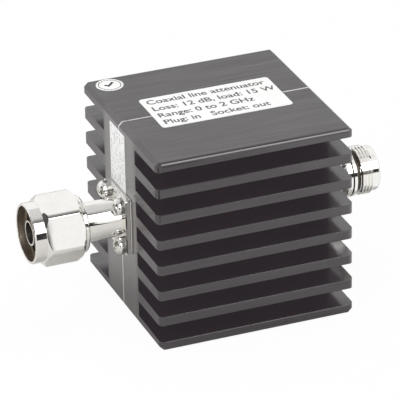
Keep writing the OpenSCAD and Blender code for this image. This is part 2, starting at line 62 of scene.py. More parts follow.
# Connector flanges and their screws, in millimetres
FLANGE_SIDE = 18.7
FLANGE_TOP = LINE_HEIGHT + FLANGE_SIDE / 2
FLANGE_THICKNESS = 2.0
FLANGE_CORNER = 0.5
FLANGE_PITCH = 13.5
FLANGE_HOLE_R = 1.65
FLANGE_EDGE = 0.12
SEAL_R = 0.16
NECK_R = 6.25
STEM_HOLE_R = 2.1
BEAD_HOLE_R = 3.5
BEAD_STOP = 1.2
LOCK_THICKNESS = 0.8
SCREW_R = 1.5
SCREW_LENGTH = 8.0
SCREW_TIP = 0.3
HEAD_R = 2.8
HEAD_HEIGHT = 2.4
HEAD_SKIRT = 0.5
HEAD_EDGE = 0.12
CROSS_LENGTH = 3.1
CROSS_WIDTH = 0.85
CROSS_DEPTH = 1.35
CROSS_PAST = 0.1

# Shares of the cross recess's length and width that are left at its floor
CROSS_TAPER = 0.5
CROSS_NARROW = 0.8

# Plug, in millimetres
PLUG_BORE_R = 3.52
PLUG_EDGE = 0.14

# Coupling nut, in millimetres from the end of the heat sink
NUT_REAR = 13.4
NUT_FRONT = 31.5
NUT_COLLAR_R = 9.1
NUT_COLLAR_END = 14.8
NUT_GROOVE_R = 8.7
HEX_REAR = 15.2
HEX_FRONT = 27.9
HEX_FLAT_R = 10.2
HEX_CORNER_R = 11.43
HEX_RELIEF = 0.1
HEX_CHAMFER = 1.6
HEX_EDGE = 0.1
RIM_R = 9.7
MOUTH_R = 8.8
MOUTH_REAR = 28.9
NUT_BORE_R = 6.35
RING_SLOT_R = 7.05
RING_SLOT_REAR = 16.3
RING_SLOT_FRONT = 17.6
LIP_R = 6.55
LIP_FRONT = 18.3

# Turn of the coupling nut's first corner, in degrees
HEX_TURN = 17.0

# Thread of the coupling nut and the socket, in millimetres
PITCH = 1.058
THREAD_R = 7.9375
THREAD_DEPTH = 0.62
INNER_THREAD_R = 7.45
INNER_RELIEF = 0.4
INNER_RUN_OUT = 0.5

# Parts of a pitch at which the outline of the thread turns, counted from the start of its crest
CREST_END = 0.125
ROOT_START = 0.5
ROOT_END = 0.625

# Rise of the socket's thread out of its relief, and its fall towards the nose
LEAD_IN_SLOPE = 1.7
RUN_OUT_SLOPE = 1.2

# Socket, in millimetres from the end of the heat sink
SOCKET_NECK_END = 9.0
BARREL_R = 7.95
BARREL_END = 10.9
FINE_GROOVE_R = 7.5
FINE_GROOVE_END = 11.3
COLLAR_END = 12.4
RELIEF_R = 6.95
RELIEF_END = 13.5
THREAD_END = 18.4
NOSE_R = 7.3
NOSE_END = 20.5
SOCKET_BORE_R = 4.05
SOCKET_STEP = 11.3

# Edges of the turned pieces, in millimetres; a ring at the hold distance keeps long faces shaded straight
EDGE_BREAK = 0.3
FINE_EDGE = 0.08
EDGE_HOLD = 3 * FINE_EDGE

# Steps round turned pieces and along curved edges
SOCKET_STEPS = 120
FLAT_STEPS = 12
HOLE_STEPS = 36
CORNER_STEPS = 6
SCREW_STEPS = 48
DOME_STEPS = 10
BEAD_STEPS = 10
RING_STEPS = 48

# Angles in degrees up to which neighbouring faces are shaded as one
TURNED_SMOOTH = 28
SCREW_SMOOTH = 30

# Distance at which seams are merged, in millimetres
MERGE = 1e-4

# Where marks on the finishes and the painted shade along the plug's seat and the strip's foot begin, and
# where they are full, in millimetres
TIP_MARKS = (0.5, 0.2)
EDGE_MARKS = (0.34, 0.1)
RUBBED_MIDDLE = (15, 11)
PLUG_SEAT_SHADE = (0.55, 0.45)
STRIP_FOOT_SHADOW = (0.55, 0.4)

# Width of the worn edges, half the blend of the painted shade at a bore's edge, and depths of fine lines, in
# millimetres
WEAR_WIDTH = 1.1
BORE_BLEND = 0.02
DRAWN_DEPTH = 0.004
LATHE_DEPTH = 0.0012
FIBRE_DEPTH = 0.004

# Printing on the labels, in millimetres
PRINT_HALF = 0.008
LETTER_BOLD = 0.06
LETTER_SIZE = 4.25
LABEL_MARGIN = 1.6
STRIP_SIDE_ROOM = 2.4
STRIP_END_ROOM = 2.6
DASH_LENGTH = 0.5
DASH_WIDTH = 0.55
TICK = ((-1.9, 0.1), (-1.25, 0.75), (-0.55, 0.0), (1.35, 1.95), (1.95, 1.3), (-0.55, -1.3))

# Rows of the top label, the place of the first base line and the room under the last, both in rows
LABEL_ROWS = (
    "Coaxial line attenuator",
    "Loss: 12 dB, load: 15 W",
    "Range: 0 to 2 GHz",
    "Plug: in   Socket: out",
)
FIRST_ROW = 0.9
ROW_ROOM = 0.35

# Outer and inner edge of the sticker's ring, as shares of the sticker's radius
RING_SHARES = (0.84, 0.78)

# Dashes down the strip and across it, and the share of them that is printed
STRIP_COLUMNS = 24
STRIP_ROWS = 8
DASHES_KEPT = 0.4


def end_place(side):
    """Matrix that sets a shape drawn along +Z, in millimetres, at the plug end (-1) or socket end (+1)."""
    turn = Matrix.Rotation(math.radians(90 * side), 4, "Y")
    place = Matrix.Translation(Vector((side * SINK_END, 0, LINE_HEIGHT)) * MM)
    return place @ turn @ Matrix.Scale(MM, 4)


def linked(name, data):
    """Object of a mesh, a curve, a lamp or a camera, linked to the scene."""
    made = bpy.data.objects.new(name, data)
    bpy.context.scene.collection.objects.link(made)
    return made


def baked(piece, name):
    """Plain mesh of an object with its modifiers applied; the object is removed."""
    graph = bpy.context.evaluated_depsgraph_get()
    mesh = bpy.data.meshes.new_from_object(piece.evaluated_get(graph))
    mesh.name = name
    bpy.data.objects.remove(piece)
    return mesh


def combined(body, tool, operation, name):
    """Plain mesh of a body joined with a tool or cut by it; both objects are removed."""
    step = body.modifiers.new(name, "BOOLEAN")
    step.operation = operation
    step.solver = "EXACT"
    step.object = tool
    mesh = baked(body, name)
    bpy.data.objects.remove(tool)
    return mesh


def closed_mesh(name, bm, merge=MERGE):
    """Mesh of a bmesh whose seams are merged and whose faces point outwards."""
    bmesh.ops.remove_doubles(bm, verts=bm.verts, dist=merge)
    bmesh.ops.dissolve_degenerate(bm, edges=bm.edges, dist=merge)
    bmesh.ops.recalc_face_normals(bm, faces=bm.faces)
    mesh = bpy.data.meshes.new(name)
    bm.to_mesh(mesh)
    bm.free()
    return mesh


def smooth(mesh, angle):
    """Shades a mesh smooth up to an angle in degrees."""
    mesh.shade_smooth()
    mesh.set_sharp_from_angle(angle=math.radians(angle))


def round_points(radius, count, across=0, up=0):
    """Points of a circle round a centre."""
    angles = [TURN * step / count for step in range(count)]
    return [(across + radius * math.cos(angle), up + radius * math.sin(angle)) for angle in angles]


def flat_curve(name, half_thickness, loops):
    """Filled flat curve of closed loops of straight lines, where a loop inside another is a hole."""
    curve = bpy.data.curves.new(name, "CURVE")
    curve.dimensions = "2D"
    curve.fill_mode = "BOTH"
    curve.extrude = half_thickness
    for points in loops:
        spline = curve.splines.new("POLY")
        spline.points.add(len(points) - 1)
        for point, (across, up) in zip(spline.points, points):
            point.co = (across, up, 0, 1)
        spline.use_cyclic_u = True
    return curve


# Shader building


def node(tree, kind, inputs=None, **settings):
    """Adds a node. Each input is a value, or the output socket that feeds it."""
    made = tree.nodes.new(kind)
    for key, value in settings.items():
        setattr(made, key, value)
    for key, value in (inputs or {}).items():
        if isinstance(value, bpy.types.NodeSocket):
            tree.links.new(value, made.inputs[key])
        else:
            made.inputs[key].default_value = value
    return made


def math_node(tree, operation, *values, clamp=False):
    """Output of a Math node."""
    made = node(tree, "ShaderNodeMath", dict(enumerate(values)), operation=operation, use_clamp=clamp)
    return made.outputs[0]


def times(tree, first, second):
    """Product of two values."""
    return math_node(tree, "MULTIPLY", first, second)


def larger(tree, first, second):
    """Larger one of two values."""
    return math_node(tree, "MAXIMUM", first, second)


def vector_node(tree, operation, first, second):
    """Vector output of a Vector Math node."""
    made = node(tree, "ShaderNodeVectorMath", {0: first, 1: second}, operation=operation)
    return made.outputs[0]


def axes(tree, vector):
    """X, Y and Z outputs of a vector."""
    return node(tree, "ShaderNodeSeparateXYZ", {0: vector}).outputs


def noise(tree, spot, scale, detail, roughness=0.5):
    """Value of a Noise texture."""
    inputs = {"Vector": spot, "Scale": scale, "Detail": detail, "Roughness": roughness}
    return node(tree, "ShaderNodeTexNoise", inputs).outputs[0]


def ramp(tree, value, low, high, to_low=0.0, to_high=1.0):
    """Value mapped from one range to another, clamped."""
    made = node(
        tree,
        "ShaderNodeMapRange",
        {"Value": value, "From Min": low, "From Max": high, "To Min": to_low, "To Max": to_high},
    )
    return made.outputs[0]


def fade(tree, distance, begin, full):
    """Share that runs from 0 to 1 over a distance, between two places in millimetres."""
    return ramp(tree, distance, begin * MM, full * MM)


def value_mix(tree, share, first, second):
    """Value output of a Mix node."""
    return node(tree, "ShaderNodeMix", {0: share, 2: first, 3: second}, data_type="FLOAT").outputs[0]


def colour_mix(tree, share, first, second, blend="MIX"):
    """Colour output of a Mix node."""
    made = node(tree, "ShaderNodeMix", {"Factor": share}, data_type="RGBA", blend_type=blend)
    for socket, value in ((made.inputs[6], first), (made.inputs[7], second)):
        if isinstance(value, bpy.types.NodeSocket):
            tree.links.new(value, socket)
        else:
            socket.default_value = (*value, 1)
    return made.outputs[2]


def shader_group(name, inputs, outputs):
    """Empty shader group with named sockets, and its input and output nodes."""
    group = bpy.data.node_groups.new(name, "ShaderNodeTree")
    for label, kind, default in inputs:
        socket = group.interface.new_socket(label, in_out="INPUT", socket_type=kind)
        socket.default_value = default
    for label, kind in outputs:
        group.interface.new_socket(label, in_out="OUTPUT", socket_type=kind)
    return group, group.nodes.new("NodeGroupInput"), group.nodes.new("NodeGroupOutput")


def make_streaks():
    """Group of fine lines: noise drawn out along the axes whose stretch is small."""
    group, given, result = shader_group(
        "fine_streaks",
        [("Position", "NodeSocketVector", (0, 0, 0)), ("Stretch", "NodeSocketVector", (1, 1, 1))],
        [("Lines", "NodeSocketFloat")],
    )
    drawn = vector_node(group, "MULTIPLY", given.outputs["Position"], given.outputs["Stretch"])
    coarse = noise(group, drawn, 1.0, 3.0)
    fine = noise(group, drawn, 3.7, 4.0)
    both = math_node(group, "ADD", coarse, fine)
    group.links.new(ramp(group, both, 0.7, 1.3), result.inputs["Lines"])
    return group


def make_patches():
    """Group of soft patches, such as uneven dye or handling marks."""
    group, given, result = shader_group(
        "soft_patches",
        [
            ("Position", "NodeSocketVector", (0, 0, 0)),
            ("Scale", "NodeSocketFloat", 100.0),
            ("Low", "NodeSocketFloat", 0.35),
            ("High", "NodeSocketFloat", 0.65),
        ],
        [("Patches", "NodeSocketFloat")],
    )
    cloud = noise(group, given.outputs["Position"], given.outputs["Scale"], 5.0, 0.6)
    spread = ramp(group, cloud, given.outputs["Low"], given.outputs["High"])
    group.links.new(spread, result.inputs["Patches"])
    return group


def make_edge_wear():
    """Group that finds the edges of a box from the middle one of the three distances to its sides."""
    group, given, result = shader_group(
        "edge_wear",
        [
            ("Position", "NodeSocketVector", (0, 0, 0)),
            ("Centre", "NodeSocketVector", (0, 0, 0)),
            ("Half Size", "NodeSocketVector", (1, 1, 1)),
            ("Width", "NodeSocketFloat", 0.001),
            ("Scale", "NodeSocketFloat", 400.0),
        ],
        [("Wear", "NodeSocketFloat")],
    )
    from_centre = vector_node(group, "SUBTRACT", given.outputs["Position"], given.outputs["Centre"])
    folded = vector_node(group, "ABSOLUTE", from_centre, (0, 0, 0))
    parts = axes(group, vector_node(group, "SUBTRACT", given.outputs["Half Size"], folded))
    lower = math_node(group, "MINIMUM", parts[0], parts[1])
    upper = larger(group, parts[0], parts[1])
    middle = larger(group, lower, math_node(group, "MINIMUM", upper, parts[2]))
    away = math_node(group, "DIVIDE", middle, given.outputs["Width"])
    near = math_node(group, "SUBTRACT", 1.0, away, clamp=True)
    grain = noise(group, given.outputs["Position"], given.outputs["Scale"], 6.0, 0.7)
    group.links.new(ramp(group, times(group, near, grain), 0.38, 0.5), result.inputs["Wear"])
    return group


STREAKS = make_streaks()
PATCHES = make_patches()
EDGE_WEAR = make_edge_wear()


def placed(tree, group, output, **values):
    """Output of a shader group placed in a material, its inputs named with underscores for spaces."""
    inputs = {key.replace("_", " "): value for key, value in values.items()}
    return node(tree, "ShaderNodeGroup", inputs, node_tree=group).outputs[output]


def new_finish(name):
    """Material with its tree, its Principled shader and its Object coordinates."""
    finish = bpy.data.materials.new(name)
    finish.use_nodes = True
    tree = finish.node_tree
    shader = tree.nodes["Principled BSDF"]
    spot = node(tree, "ShaderNodeTexCoord").outputs["Object"]
    return finish, tree, shader, spot


def feed(tree, shader, **sockets):
    """Links or sets sockets of a shader, named with underscores for spaces."""
    for key, value in sockets.items():
        socket = shader.inputs[key.replace("_", " ")]
        if isinstance(value, bpy.types.NodeSocket):
            tree.links.new(value, socket)
        else:
            socket.default_value = value


def bump(tree, height, depth, strength):
    """Normal of a Bump node, its depth in millimetres."""
    made = node(tree, "ShaderNodeBump", {"Height": height, "Distance": depth * MM, "Strength": strength})
    return made.outputs[0]


def fin_edges(tree, spot):
    """Share from 0 to 1 that rises to the two edges of every fin tip."""
    parts = axes(tree, spot)
    out = math_node(tree, "ABSOLUTE", parts["Y"])
    begin, full = TIP_MARKS
    tip = fade(tree, out, SINK_HALF_WIDTH - begin, SINK_HALF_WIDTH - full)
    height = math_node(tree, "FLOORED_MODULO", parts["Z"], FIN_PITCH * MM)
    upper = math_node(tree, "ABSOLUTE", math_node(tree, "SUBTRACT", height, FIN_TIP * MM))
    lower = math_node(tree, "MINIMUM", height, math_node(tree, "SUBTRACT", FIN_PITCH * MM, height))
    near = fade(tree, math_node(tree, "MINIMUM", upper, lower), *EDGE_MARKS)
    return times(tree, tip, near)


def bare_marks(tree, spot, off_seam):
    """Share of bare metal: the broken parting line, worn outer edges and chips along the fin tips."""
    worn = placed(
        tree,
        EDGE_WEAR,
        "Wear",
        Position=spot,
        Centre=(0, 0, LINE_HEIGHT * MM),
        Half_Size=(SINK_END * MM, SINK_HALF_WIDTH * MM, LINE_HEIGHT * MM),
        Width=WEAR_WIDTH * MM,
        Scale=900.0,
    )
    chipped = placed(tree, PATCHES, "Patches", Position=spot, Scale=700.0, Low=0.66, High=0.72)
    chips = times(tree, fin_edges(tree, spot), chipped)
    broken = placed(tree, PATCHES, "Patches", Position=spot, Scale=380.0, Low=0.34, High=0.44)
    seam = fade(tree, off_seam, SEAM_HALF, 0.7 * SEAM_HALF)
    seam = times(tree, seam, math_node(tree, "MULTIPLY_ADD", broken, 0.5, 0.5))
    scuffs = larger(tree, times(tree, worn, 0.25), times(tree, chips, 0.7))
    return larger(tree, seam, scuffs)


def make_anodised():
    """Black anodised aluminium: drawn lines along the fins, ends rubbed glossy in the middle, bare marks,
    and a faint even glow all over that is painted light lifting its shade.
    """
    finish, tree, shader, spot = new_finish("black_anodised")
    off_seam = math_node(tree, "ABSOLUTE", axes(tree, spot)["Y"])
    facing = axes(tree, node(tree, "ShaderNodeNewGeometry").outputs["Normal"])["X"]
    at_end = ramp(tree, math_node(tree, "ABSOLUTE", facing), 0.6, 0.9)
    at_side = math_node(tree, "SUBTRACT", 1.0, at_end)

    along = placed(tree, STREAKS, "Lines", Position=spot, Stretch=(22, 1100, 1100))
    upright = placed(tree, STREAKS, "Lines", Position=spot, Stretch=(700, 700, 14))
    lines = value_mix(tree, at_end, along, upright)
    swept = vector_node(tree, "MULTIPLY", spot, (0.16, 1.0, 1.0))
    bands = placed(tree, PATCHES, "Patches", Position=swept, Scale=150.0, Low=0.34, High=0.66)
    dye = placed(tree, PATCHES, "Patches", Position=spot, Scale=45.0, Low=0.3, High=0.7)
    dust = placed(tree, PATCHES, "Patches", Position=spot, Scale=1900.0, Low=0.66, High=0.74)
    bare = bare_marks(tree, spot, off_seam)

    black = colour_mix(tree, dye, (0.0085, 0.007, 0.008), (0.0115, 0.0095, 0.011))
    drawn = colour_mix(tree, lines, (0.85, 0.85, 0.85), (1.2, 1.2, 1.2))
    black = colour_mix(tree, 1.0, black, drawn, "MULTIPLY")
    black = colour_mix(tree, times(tree, dust, 0.1), black, (0.3, 0.3, 0.3))
    # Painted light: a faint glow all over the black, so that its shade never falls to full black
    painted_glow = colour_mix(tree, dye, (0.0195, 0.0155, 0.0185), (0.0215, 0.017, 0.0205))
    rough_side = ramp(tree, lines, 0, 1, 0.14, 0.22)
    rough_end = ramp(tree, lines, 0, 1, 0.18, 0.26)
    rubbed = times(tree, at_end, fade(tree, off_seam, *RUBBED_MIDDLE))
    gloss = math_node(tree, "MULTIPLY_ADD", bands, 0.25, times(tree, lines, 0.35))
    gloss = math_node(tree, "MULTIPLY_ADD", gloss, at_side, times(tree, rubbed, 0.75))
    height = math_node(tree, "ADD", lines, times(tree, dust, 0.3))
    feed(
        tree,
        shader,
        Base_Color=colour_mix(tree, bare, black, (0.86, 0.85, 0.84)),
        Metallic=times(tree, bare, 0.4),
        Roughness=value_mix(tree, at_end, rough_side, rough_end),
        IOR=1.75,
        Coat_Weight=gloss,
        Coat_Roughness=0.18,
        Emission_Color=painted_glow,
        Emission_Strength=1.0,
        Normal=bump(tree, height, DRAWN_DEPTH, 0.5),
    )
    return finish


def shaded_places(tree, spot, bore):
    """Share of painted shade: 1 inside a bore round the line, and nearly 1 along the edge that sits on the
    plug end of the sink.
    """
    from_line = vector_node(tree, "SUBTRACT", spot, (0, 0, LINE_HEIGHT * MM))
    flat = vector_node(tree, "MULTIPLY", from_line, (0, 1, 1))
    away = node(tree, "ShaderNodeVectorMath", {0: flat}, operation="LENGTH").outputs["Value"]
    inside = fade(tree, away, bore + BORE_BLEND, bore - BORE_BLEND)
    begin, full = PLUG_SEAT_SHADE
    seat = fade(tree, axes(tree, spot)["X"], -SINK_END - begin, -SINK_END - full)
    return larger(tree, inside, times(tree, seat, 0.9))


def make_plate(name, colour, tint, roughness, stretch=(4000, 60, 60), bore=None):
    """Plated or polished metal with fine lathe lines and faint marks; a bore and the seat get painted shade
    and are rougher.
    """
    finish, tree, shader, spot = new_finish(name)
    lines = placed(tree, STREAKS, "Lines", Position=spot, Stretch=stretch)
    smear = placed(tree, PATCHES, "Patches", Position=spot, Scale=160.0, Low=0.35, High=0.7)
    specks = placed(tree, PATCHES, "Patches", Position=spot, Scale=2200.0, Low=0.66, High=0.74)
    shade = colour_mix(tree, smear, colour, tint)
    shade = colour_mix(tree, times(tree, specks, 0.15), shade, (0.3, 0.28, 0.25))
    rough = ramp(tree, lines, 0, 1, roughness * 0.8, roughness * 1.25)
    rough = math_node(tree, "MULTIPLY_ADD", smear, 0.03, rough)
    if bore:
        # Painted shade inside the bore and along the seat on the heat sink
        inside = shaded_places(tree, spot, bore)
        shade = colour_mix(tree, inside, shade, (0.06, 0.052, 0.045))
        rough = larger(tree, rough, times(tree, inside, 0.45))
    feed(tree, shader, Base_Color=shade, Metallic=1.0, Roughness=rough)
    feed(tree, shader, Normal=bump(tree, lines, LATHE_DEPTH, 0.4))
    return finish


def make_soft(name, colour, tint, roughness, scale, depth):
    """Insulator, gasket or ceramic: a grain in colour, roughness and height."""
    finish, tree, shader, spot = new_finish(name)
    cloud = placed(tree, PATCHES, "Patches", Position=spot, Scale=scale, Low=0.3, High=0.7)
    grain = placed(tree, PATCHES, "Patches", Position=spot, Scale=scale * 6, Low=0.3, High=0.7)
    feed(tree, shader, Base_Color=colour_mix(tree, cloud, colour, tint))
    feed(tree, shader, Roughness=ramp(tree, grain, 0, 1, roughness - 0.06, roughness + 0.06))
    feed(tree, shader, Normal=bump(tree, grain, depth, 0.6))
    return finish


def make_paper():
    """White label stock: faint fibres, a slight sheen, handling marks, and painted shadow along the foot of
    the strip where it meets the flange.
    """
    finish, tree, shader, spot = new_finish("label_paper")
    fibres = placed(tree, STREAKS, "Lines", Position=spot, Stretch=(500, 1600, 1600))
    marks = placed(tree, PATCHES, "Patches", Position=spot, Scale=130.0, Low=0.4, High=0.75)
    white = colour_mix(tree, fibres, (0.9, 0.9, 0.895), (0.95, 0.95, 0.945))
    white = colour_mix(tree, times(tree, marks, 0.25), white, (0.78, 0.77, 0.75))
    # Painted shadow: the strip darkens where it meets the flange
    begin, full = STRIP_FOOT_SHADOW
    foot = fade(tree, axes(tree, spot)["Z"], FLANGE_TOP + begin, FLANGE_TOP + full)
    white = colour_mix(tree, foot, white, (0.1, 0.1, 0.1))
    feed(tree, shader, Base_Color=white, Roughness=ramp(tree, fibres, 0, 1, 0.5, 0.65))
    feed(tree, shader, Normal=bump(tree, fibres, FIBRE_DEPTH, 0.5))
    return finish


def make_ink(name, colour, thin):
    """Printed ink, thinner in places where the label shows through."""
    finish, tree, shader, spot = new_finish(name)
    gaps = placed(tree, PATCHES, "Patches", Position=spot, Scale=2400.0, Low=0.55, High=0.75)
    feed(tree, shader, Base_Color=colour_mix(tree, times(tree, gaps, 0.5), colour, thin))
    feed(tree, shader, Roughness=ramp(tree, gaps, 0, 1, 0.42, 0.6))
    return finish


ANODISED = make_anodised()
NICKEL = make_plate("bright_nickel", (0.93, 0.915, 0.885), (0.88, 0.865, 0.83), 0.06)
# Plug nickel with painted shade in its bore and along its seat on the heat sink
PLUG_NICKEL = make_plate("plug_nickel", (0.93, 0.915, 0.885), (0.88, 0.865, 0.83), 0.06, bore=PLUG_BORE_R)
# Inside of the nut: a duller, browner plating of its own, darkened further by painted shade
DULL_SHADED_NICKEL = make_plate("dull_shaded_inner_nickel", (0.42, 0.37, 0.31), (0.3, 0.26, 0.21), 0.36)
# Painted shade on the floors of the socket's grooves
SHADED_NICKEL = make_plate("shaded_groove_nickel", (0.08, 0.068, 0.056), (0.055, 0.047, 0.04), 0.4)
SCREW_STEEL = make_plate("polished_screws", (0.88, 0.87, 0.85), (0.78, 0.77, 0.74), 0.08, (900, 900, 900))
SPRING_STEEL = make_plate("spring_steel", (0.5, 0.49, 0.47), (0.38, 0.37, 0.36), 0.3, (900, 900, 900))
GOLD = make_plate("thin_gold", (0.8, 0.7, 0.48), (0.7, 0.58, 0.36), 0.2)
INSULATOR = make_soft("insulator_white", (0.88, 0.88, 0.86), (0.8, 0.8, 0.77), 0.42, 240.0, 0.004)
SEAL = make_soft("flange_seal", (0.86, 0.84, 0.8), (0.78, 0.76, 0.72), 0.4, 700.0, 0.003)
GASKET = make_soft("gasket_red", (0.36, 0.09, 0.055), (0.26, 0.06, 0.04), 0.55, 500.0, 0.01)
CERAMIC = make_soft("chip_ceramic_white", (0.86, 0.86, 0.84), (0.78, 0.78, 0.75), 0.6, 700.0, 0.006)
PAPER = make_paper()
INK = make_ink("label_ink", (0.028, 0.028, 0.03), (0.2, 0.2, 0.2))
PALE_INK = make_ink("strip_ink", (0.42, 0.43, 0.45), (0.7, 0.7, 0.7))


# Turned pieces


def thread_height(pitches):
    """Height of the thread's outline, from 0 to 1, a number of pitches past the start of a crest."""
    part = pitches % 1
    if part < CREST_END:
        return 1.0
    if part < ROOT_START:
        return (ROOT_START - part) / (ROOT_START - CREST_END)
    if part < ROOT_END:
        return 0.0
    return (part - ROOT_END) / (1 - ROOT_END)


def thread_rings(start, end, angle):
    """Rings of a screw thread at an angle, as (place, height from 0 to 1), kept between both ends."""
    turned = angle / TURN
    rings = []
    for turn in range(-2, int((end - start) / PITCH) + 2):
        for part in (0, CREST_END, ROOT_START, ROOT_END):
            place = min(max(start + (turn + part + turned) * PITCH, start), end)
            rings.append((place, thread_height((place - start) / PITCH - turned)))
    return rings


def turned_mesh(name, angles, outline, finish_index):
    """Closed mesh of an outline, a loop of (radius, place) for each angle, turned once round +Z."""
    bm = bmesh.new()
    columns = []
    for angle in [*angles, angles[0] + TURN]:
        across, up = math.cos(angle), math.sin(angle)
        loop = outline(angle)
        columns.append([bm.verts.new((radius * across, radius * up, place)) for radius, place in loop])
    count = len(columns[0])
    for left, right in zip(columns, columns[1:]):
        for i in range(count):
            j = (i + 1) % count
            face = bm.faces.new((left[i], right[i], right[j], left[j]))
            face.material_index = finish_index(i)
    return closed_mesh(name, bm)


def nickel_piece(name, mesh, side, second_finish):
    """Turned piece set at one end of the sink, of bright nickel with a second finish on its inner faces;
    that second finish carries painted shade.
    """
    mesh.transform(end_place(side))
    smooth(mesh, TURNED_SMOOTH)
    mesh.materials.append(NICKEL)
    mesh.materials.append(second_finish)
    return linked(name, mesh)


def hexagon_columns():
    """Angles and radii round a hexagon with corners turned to a circle, and close columns at each edge."""
    columns = []
    corner = math.radians(30)
    turned = corner - math.acos(HEX_FLAT_R / HEX_CORNER_R)
    edge = HEX_EDGE / HEX_CORNER_R
    for side in range(6):
        at = math.radians(60 * side + HEX_TURN)
        inner = turned - 2 * edge
        for angle in (-inner - edge, -inner, -inner / 2, 0, inner / 2, inner, inner + edge):
            columns.append((at + angle, HEX_CORNER_R))
        first, last = turned + 2 * edge, 2 * corner - turned - 2 * edge
        steps = [first + (last - first) * step / FLAT_STEPS for step in range(FLAT_STEPS + 1)]
        for angle in (first - edge, *steps, last + edge):
            columns.append((at + angle, HEX_FLAT_R / math.cos(angle - corner)))
    return columns


def coupling_nut():
    """Nut with a chamfered hexagon, a round rim and collar, and a real thread inside its mouth."""
    columns = hexagon_columns()
    angles = [angle for angle, _ in columns]
    radii = dict(columns)
    radii[angles[0] + TURN] = radii[angles[0]]
    face_r = HEX_FLAT_R - HEX_RELIEF
    slope = HEX_CHAMFER / (HEX_FLAT_R / math.cos(math.radians(30)) - face_r)
    thread_rear = LIP_FRONT + INNER_RELIEF
    thread_front = MOUTH_REAR - EDGE_BREAK

    def outside(angle):
        point_r = radii[angle]
        step = (point_r - face_r) * slope
        return [
            (NUT_BORE_R, NUT_REAR),
            (NUT_COLLAR_R - EDGE_BREAK, NUT_REAR),
            (NUT_COLLAR_R - FINE_EDGE, NUT_REAR + EDGE_BREAK - FINE_EDGE),
            (NUT_COLLAR_R, NUT_REAR + EDGE_BREAK + FINE_EDGE),
            (NUT_COLLAR_R, NUT_REAR + EDGE_BREAK + EDGE_HOLD),
            (NUT_COLLAR_R, NUT_COLLAR_END - FINE_EDGE),
            (NUT_COLLAR_R - FINE_EDGE, NUT_COLLAR_END),
            (NUT_GROOVE_R, NUT_COLLAR_END),
            (NUT_GROOVE_R, HEX_REAR),
            (face_r - FINE_EDGE, HEX_REAR),
            (face_r, HEX_REAR + FINE_EDGE * slope),
            (point_r, HEX_REAR + step),
            (point_r, HEX_FRONT - step),
            (face_r, HEX_FRONT - FINE_EDGE * slope),
            (face_r - FINE_EDGE, HEX_FRONT),
            (RIM_R, HEX_FRONT),
            (RIM_R, NUT_FRONT - EDGE_BREAK - EDGE_HOLD),
            (RIM_R, NUT_FRONT - EDGE_BREAK - FINE_EDGE),
            (RIM_R - FINE_EDGE, NUT_FRONT - EDGE_BREAK + FINE_EDGE),
            (RIM_R - EDGE_BREAK, NUT_FRONT),
            (MOUTH_R + FINE_EDGE, NUT_FRONT),
            (MOUTH_R, NUT_FRONT - FINE_EDGE),
        ]

    def inner_thread(angle):
        rings = []
        for place, height in reversed(thread_rings(thread_rear, thread_front, angle)):
            run_out = min(1.0, (place - thread_rear) / INNER_RUN_OUT)
            rings.append((INNER_THREAD_R + THREAD_DEPTH * (1 - height) * run_out, place))
        return rings

    def inside(angle):
        return [
            (MOUTH_R, MOUTH_REAR),
            (INNER_THREAD_R, thread_front),
            *inner_thread(angle),
            (INNER_THREAD_R, thread_rear),
            (INNER_THREAD_R, LIP_FRONT),
            (LIP_R, LIP_FRONT),
            (LIP_R, RING_SLOT_FRONT),
            (RING_SLOT_R, RING_SLOT_FRONT),
            (RING_SLOT_R, RING_SLOT_REAR),
            (NUT_BORE_R, RING_SLOT_REAR),
        ]

    # Inner faces take the duller finish, which also carries painted shade
    first_inside = len(outside(angles[0])) - 1
    mesh = turned_mesh(
        "coupling_nut_dressed",
        angles,
        lambda angle: outside(angle) + inside(angle),
        lambda i: int(i >= first_inside),
    )
    return nickel_piece("coupling_nut_dressed", mesh, -1, DULL_SHADED_NICKEL)


def flange_plate(name):
    """Square flange with four screw holes and a hole for its neck, its edges slightly rounded."""
    half = FLANGE_SIDE / 2 - FLANGE_CORNER
    outer = []
    for quarter, (right, up) in enumerate(((1, 1), (-1, 1), (-1, -1), (1, -1))):
        for step in range(CORNER_STEPS + 1):
            angle = math.radians(90 * quarter + 90 * step / CORNER_STEPS)
            across = right * half + FLANGE_CORNER * math.cos(angle)
            outer.append((across, up * half + FLANGE_CORNER * math.sin(angle)))
    at = FLANGE_PITCH / 2
    centres = [(-at, -at), (-at, at), (at, -at), (at, at)]
    holes = [round_points(FLANGE_HOLE_R, HOLE_STEPS, across, up) for across, up in centres]
    neck_hole = round_points((STEM_HOLE_R + NECK_R) / 2, HOLE_STEPS)
    curve = flat_curve(name, FLANGE_THICKNESS / 2 - FLANGE_EDGE, [outer, *holes, neck_hole])
    curve.bevel_depth = FLANGE_EDGE
    curve.bevel_resolution = 2
    curve.offset = -FLANGE_EDGE
    bm = bmesh.new()
    bm.from_mesh(baked(linked(name, curve), name))
    bmesh.ops.translate(bm, vec=(0, 0, FLANGE_THICKNESS / 2), verts=bm.verts)
    return closed_mesh(name, bm)


